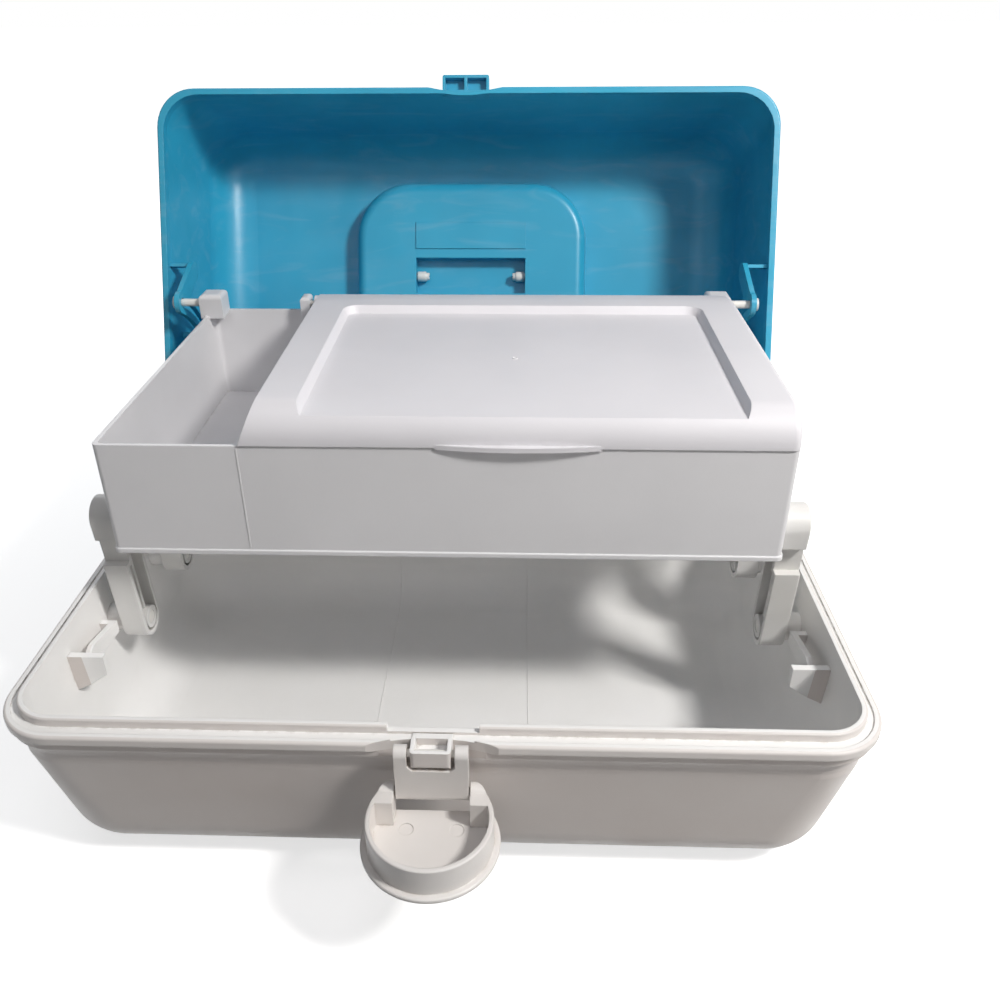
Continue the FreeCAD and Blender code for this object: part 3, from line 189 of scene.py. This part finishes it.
def plastic(name, light, dark, rough, dirt_and_shade_colour="#6E5A40", dirt_and_shade_share=0.45, streaks=0.0, wall_shade_colour=None):
    """Moulded plastic: cloudy tint, rub marks, pale scuffs, fine grain, and grime with painted shade in its
    corners.

    light and dark bound the tint and rough is the middle roughness. The corner colour is grime
    and painted shade; the two numbers after it are the most that it and the scuffs cover. The
    last colour, used on the base, is painted shade on the outside of its walls.
    """
    made = bpy.data.materials.new(name)
    made.use_nodes = True
    tree = made.node_tree
    tree.nodes.clear()
    place = add(tree, "ShaderNodeTexCoord").outputs["Object"]

    cloud = add(tree, "ShaderNodeTexNoise", {"Vector": place, "Scale": PER_METRE / CLOUD_SIZE, "Detail": 4.0})
    tone = add(tree, "ShaderNodeMapRange", {"Value": cloud.outputs[0], "From Min": 0.3, "From Max": 0.72})
    tinted = add(
        tree,
        "ShaderNodeMix",
        {0: tone.outputs[0], TINT_A: linear(dark), TINT_B: linear(light)},
        data_type="RGBA",
    )

    drawn = add(tree, "ShaderNodeMapping", {"Vector": place, "Scale": SCUFF_STRETCH, "Rotation": SCUFF_TURN})
    scuff = add(
        tree,
        "ShaderNodeTexNoise",
        {"Vector": drawn.outputs[0], "Scale": PER_METRE / SCUFF_SIZE, "Detail": 5.0, "Distortion": 1.2},
    )
    worn = add(
        tree,
        "ShaderNodeMapRange",
        {"Value": scuff.outputs[0], "From Min": 0.52, "From Max": 0.78, "To Max": streaks},
    )
    rubbed = add(
        tree,
        "ShaderNodeMix",
        {0: worn.outputs[0], TINT_A: tinted.outputs[TINT_OUT], TINT_B: linear(SCUFF_COLOUR)},
        data_type="RGBA",
    )

    # grime and painted shade darken corners narrower than CORNER_REACH, broken up by a noise
    flat = add(tree, "ShaderNodeNewGeometry").outputs["True Normal"]
    corner = add(tree, "ShaderNodeAmbientOcclusion", {"Distance": CORNER_REACH, "Normal": flat}, samples=6)
    deep = add(
        tree,
        "ShaderNodeMapRange",
        {"Value": corner.outputs["AO"], "From Min": 0.62, "From Max": 0.2, "To Min": 0.0, "To Max": 1.0},
    )
    patch = add(tree, "ShaderNodeTexNoise", {"Vector": place, "Scale": PER_METRE / DIRT_AND_SHADE_PATCH_SIZE, "Detail": 4.0})
    broken = add(
        tree,
        "ShaderNodeMapRange",
        {"Value": patch.outputs[0], "From Min": 0.42, "From Max": 0.62, "To Max": dirt_and_shade_share},
    )
    dirt_and_shade_mask = add(tree, "ShaderNodeMath", {0: deep.outputs[0], 1: broken.outputs[0]}, operation="MULTIPLY")
    dirt_and_shade_mixed = add(
        tree,
        "ShaderNodeMix",
        {0: dirt_and_shade_mask.outputs[0], TINT_A: rubbed.outputs[TINT_OUT], TINT_B: linear(dirt_and_shade_colour)},
        data_type="RGBA",
    )
    colour = dirt_and_shade_mixed.outputs[TINT_OUT]

    if wall_shade_colour:
        # painted shade: darkens faces in a wall's outer half that look away from the middle, uneven like the
        # tint
        split = add(tree, "ShaderNodeSeparateXYZ", {0: place})
        past = []
        for axis, lean, edge in (("Y", FRONT_LEAN, FRONT_EDGE), ("X", SIDE_LEAN, SIDE_EDGE)):
            far = add(tree, "ShaderNodeMath", {0: split.outputs[axis]}, operation="ABSOLUTE").outputs[0]
            foot = add(
                tree, "ShaderNodeMath", {0: split.outputs["Z"], 1: -lean, 2: far}, operation="MULTIPLY_ADD"
            )
            over = add(tree, "ShaderNodeMath", {0: foot.outputs[0], 1: edge}, operation="GREATER_THAN")
            past.append(over.outputs[0])
        amount = add(tree, "ShaderNodeMath", {0: past[0], 1: past[1]}, operation="MAXIMUM").outputs[0]
        low = add(
            tree,
            "ShaderNodeMapRange",
            {
                "Value": split.outputs["Z"],
                "From Min": FLANGE_TOP,
                "From Max": FLANGE_TOP + 0.0001,
                "To Min": 1.0,
                "To Max": WALL_SHADE_ABOVE_FLANGE,
            },
        )
        uneven = add(
            tree,
            "ShaderNodeMapRange",
            {"Value": cloud.outputs[0], "From Min": 0.3, "From Max": 0.7, "To Min": 0.75, "To Max": 1.0},
        )
        facing = add(tree, "ShaderNodeTexCoord").outputs["Normal"]
        level = add(tree, "ShaderNodeVectorMath", {0: place, 1: (1.0, 1.0, 0.0)}, operation="MULTIPLY")
        away = add(tree, "ShaderNodeVectorMath", {0: facing, 1: level.outputs[0]}, operation="DOT_PRODUCT")
        turned = add(
            tree, "ShaderNodeMapRange", {"Value": away.outputs["Value"], "From Min": 0.0, "From Max": 0.03}
        )
        for share in (low, uneven, turned):
            both = add(tree, "ShaderNodeMath", {0: amount, 1: share.outputs[0]}, operation="MULTIPLY")
            amount = both.outputs[0]
        wall_shaded = add(
            tree, "ShaderNodeMix", {0: amount, TINT_A: colour, TINT_B: linear(wall_shade_colour)}, data_type="RGBA"
        )
        colour = wall_shaded.outputs[TINT_OUT]

    rub = add(
        tree,
        "ShaderNodeTexNoise",
        {"Vector": place, "Scale": PER_METRE / RUB_SIZE, "Detail": 6.0, "Distortion": 0.6},
    )
    gloss = add(
        tree,
        "ShaderNodeMapRange",
        {
            "Value": rub.outputs[0],
            "From Min": 0.3,
            "From Max": 0.7,
            "To Min": rough - 0.06,
            "To Max": rough + 0.08,
        },
    )
    grain = add(tree, "ShaderNodeTexNoise", {"Vector": place, "Scale": PER_METRE / GRAIN_SIZE, "Detail": 2.0})
    edge = add(tree, "ShaderNodeBevel", {"Radius": EDGE_RADIUS}, samples=4)
    bump = add(
        tree,
        "ShaderNodeBump",
        {"Strength": 0.05, "Distance": GRAIN_DEPTH, "Height": grain.outputs[0], "Normal": edge.outputs[0]},
    )
    body = add(
        tree,
        "ShaderNodeBsdfPrincipled",
        {
            "Base Color": colour,
            "Roughness": gloss.outputs[0],
            "IOR": PLASTIC_IOR,
            "Normal": bump.outputs[0],
        },
    )
    add(tree, "ShaderNodeOutputMaterial", {"Surface": body.outputs[0]})
    return made


def dress(material, *names):
    """Gives the named CAD nodes one material."""
    for name in names:
        nodes[name].data.materials.clear()
        nodes[name].data.materials.append(material)


# The base's corners take brown grime with painted shade, and its outer walls a painted shade.
base_white = plastic(
    "polypropylene_moulded_white_painted_shade", "#F6F5F4", "#F0EFED", 0.36, dirt_and_shade_share=0.85, wall_shade_colour="#D6CDC8"
)
dress(base_white, "base_tub", "latch_bracket")


def ribbon(name, points, width, thick, across):
    """A thin raised line along a path, laid half into the surface under it."""
    side = Vector(across) * (width / 2)
    bpy.ops.object.select_all(action="DESELECT")
    bpy.ops.mesh.primitive_plane_add(size=width, location=points[0])
    made = bpy.context.object
    made.name = name
    bpy.ops.object.transform_apply(location=True, rotation=True, scale=True)
    bpy.ops.object.mode_set(mode="EDIT")
    bpy.ops.mesh.select_mode(type="VERT")
    bpy.ops.mesh.merge(type="CENTER")
    bpy.ops.transform.translate(value=-side)
    bpy.ops.mesh.extrude_region_move(TRANSFORM_OT_translate={"value": side * 2})
    bpy.ops.mesh.select_all(action="SELECT")
    for here, there in zip(points, points[1:]):
        leg = Vector(there) - Vector(here)
        bpy.ops.mesh.extrude_region_move(TRANSFORM_OT_translate={"value": leg})
    bpy.ops.object.mode_set(mode="OBJECT")
    wall = made.modifiers.new("thickness", "SOLIDIFY")
    wall.thickness = thick
    wall.offset = 0.0
    bpy.ops.object.modifier_apply(modifier=wall.name)
    return made


# Two faint mould lines run forward over the tub's floor and up its back wall, round the
# fillet between them. They are raised by less than a fifth of a millimetre.
FLOOR_Z = 0.006
FLAT_BACK_Y = 0.06866
INNER_FILLET = 0.0206
FILLET_TURN = math.radians(82.9)
FILLET_STEPS = 8
LINE_FRONT_Y = -0.062
LINE_TOP = (0.0930, 0.0555)
mould_line = [(LINE_FRONT_Y, FLOOR_Z), (FLAT_BACK_Y, FLOOR_Z)]
for step in range(1, FILLET_STEPS + 1):
    turn = FILLET_TURN * step / FILLET_STEPS
    mould_line.append(
        (FLAT_BACK_Y + INNER_FILLET * math.sin(turn), FLOOR_Z + INNER_FILLET * (1 - math.cos(turn)))
    )
mould_line.append(LINE_TOP)
LINE_WIDTH, LINE_THICK = 0.0006, 0.00036
for side, x in (("left", -0.0350), ("right", 0.0356)):
    path = [(x, y, z) for y, z in mould_line]
    line = ribbon("base_mould_line_" + side, path, LINE_WIDTH, LINE_THICK, (1, 0, 0))
    line.data.materials.append(base_white)
    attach(line, "base")

# ---- Lid
# Injection-moulded polypropylene in a deep turquoise, satin inside and out, with the
# two slotted tracks clipped to its side walls. Handling has left faint pale scuffs. With
# a roughness below 0.34 the glossiest rub marks would show as hard-edged flecks.
# The lid's corner colour is a dark teal: painted shade in its narrow corners and the catch pockets.
lid_blue = plastic("polypropylene_moulded_turquoise", "#35ADD0", "#30A0C3", 0.345, "#12394B", 0.5, 0.07)
dress(lid_blue, "lid_shell", "lid_track_left", "lid_track_right")

# ---- Handle and pins
# The bail and every pin are moulded acetal, slightly creamier and glossier than the base,
# snapped or pressed into their holes.
pins_white = plastic("acetal_moulded_white", "#EEECE8", "#E4E1DB", 0.35)
dress(pins_white, *[name for name in nodes if "pin" in name])
dress(pins_white, "handle")


def step_end(piece, toward, border, rise, edge):
    """Raises or sinks the flat end that faces toward, inside a border, and rounds its sharp edges."""
    bpy.ops.object.mode_set(mode="EDIT")
    bpy.ops.mesh.select_all(action="DESELECT")
    bpy.ops.object.mode_set(mode="OBJECT")
    for face in piece.data.polygons:
        face.select = face.normal.dot(toward) > 0.9
    bpy.ops.object.mode_set(mode="EDIT")
    bpy.ops.mesh.select_mode(type="FACE")
    bpy.ops.mesh.inset(thickness=border)
    bpy.ops.mesh.extrude_region_move(TRANSFORM_OT_translate={"value": toward * rise})
    bpy.ops.object.mode_set(mode="OBJECT")
    soft = piece.modifiers.new("edges", "BEVEL")
    soft.width = edge
    soft.segments = 2
    soft.limit_method = "ANGLE"
    bpy.ops.object.modifier_apply(modifier=soft.name)


# The handle's two split pins end in thick moulded caps inside the lid's yoke, snapped
# through its square holes.
PIN_END_X = 0.0299
PIN_END_YZ = (0.21622, 0.14958)
CAP_RADIUS, CAP_LENGTH = 0.0030, 0.0052
CAP_BORDER, CAP_NOSE, CAP_EDGE = 0.0007, 0.0016, 0.0004
for side, sign in (("left", -1), ("right", 1)):
    bpy.ops.object.select_all(action="DESELECT")
    bpy.ops.mesh.primitive_cylinder_add(
        vertices=24,
        radius=CAP_RADIUS,
        depth=CAP_LENGTH,
        location=(sign * PIN_END_X, *PIN_END_YZ),
        rotation=(0, math.pi / 2, 0),
    )
    cap = bpy.context.object
    cap.name = "handle_pin_cap_" + side
    bpy.ops.object.transform_apply(location=True, rotation=True, scale=True)
    step_end(cap, Vector((-sign, 0, 0)), CAP_BORDER, CAP_NOSE, CAP_EDGE)
    bpy.ops.object.shade_smooth_by_angle(angle=0.6)
    cap.data.materials.append(pins_white)
    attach(cap, "handle")

# ---- Swing arms
# Four channel-section arms moulded in white polypropylene, a shade cleaner than the base
# because nothing rubs them. Each turns on a pin in the base and one in the tray.
arm_white = plastic("polypropylene_moulded_arm_white", "#E8E7E6", "#E0DEDA", 0.36)
dress(arm_white, *[row + "_arm_" + side for row in ("front", "rear") for side in ("left", "right")])

# ---- Tray
# An open box moulded in one piece in a cooler white polystyrene, with a divider inside.
# A faint line shows on its front where the divider joins behind it.
tray_white = plastic("polystyrene_moulded_tray_white", "#E7E6E8", "#E0DFE1", 0.40)
dress(tray_white, "tray")
DIVIDER_X, TRAY_FACE_Y = -0.0790, -0.0259
DIVIDER_LOW, DIVIDER_HIGH = 0.1095, 0.1545
DIVIDER_WIDTH, DIVIDER_THICK = 0.0007, 0.00024
path = [(DIVIDER_X, TRAY_FACE_Y, z) for z in (DIVIDER_LOW, DIVIDER_HIGH)]
divider_line = ribbon("tray_divider_line", path, DIVIDER_WIDTH, DIVIDER_THICK, (1, 0, 0))
divider_line.data.materials.append(tray_white)
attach(divider_line, "tray")

# ---- Tray cover
# The same polystyrene with a finer, duller mould texture. The mould's gate leaves a small
# round stub in the middle of the sunk panel, snapped off almost flush.
cover_white = plastic("polystyrene_moulded_cover_white", "#E8E6EA", "#E2E0E4", 0.46)
dress(cover_white, "tray_cover")
GATE = (0.0276, 0.0378, 0.1670)
GATE_RADIUS, GATE_HEIGHT = 0.0013, 0.0007
GATE_BORDER, GATE_DIP, GATE_EDGE = 0.0004, -0.0003, 0.0002
bpy.ops.object.select_all(action="DESELECT")
bpy.ops.mesh.primitive_cylinder_add(vertices=32, radius=GATE_RADIUS, depth=GATE_HEIGHT, location=GATE)
gate = bpy.context.object
gate.name = "cover_gate_mark"
bpy.ops.object.transform_apply(location=True, rotation=True, scale=True)
step_end(gate, Vector((0, 0, 1)), GATE_BORDER, GATE_DIP, GATE_EDGE)
gate.data.materials.append(cover_white)
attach(gate, "cover")

# ---- Latch
# Link and button are moulded polypropylene, the most handled pieces, so the white is
# warmer, and brown is painted into their corners as grime and painted shade.
latch_white = plastic("polypropylene_moulded_latch_white", "#E5E2E0", "#DDD8D4", 0.34, "#7A5C36", 0.7)
dress(latch_white, "latch_link", "latch_button")
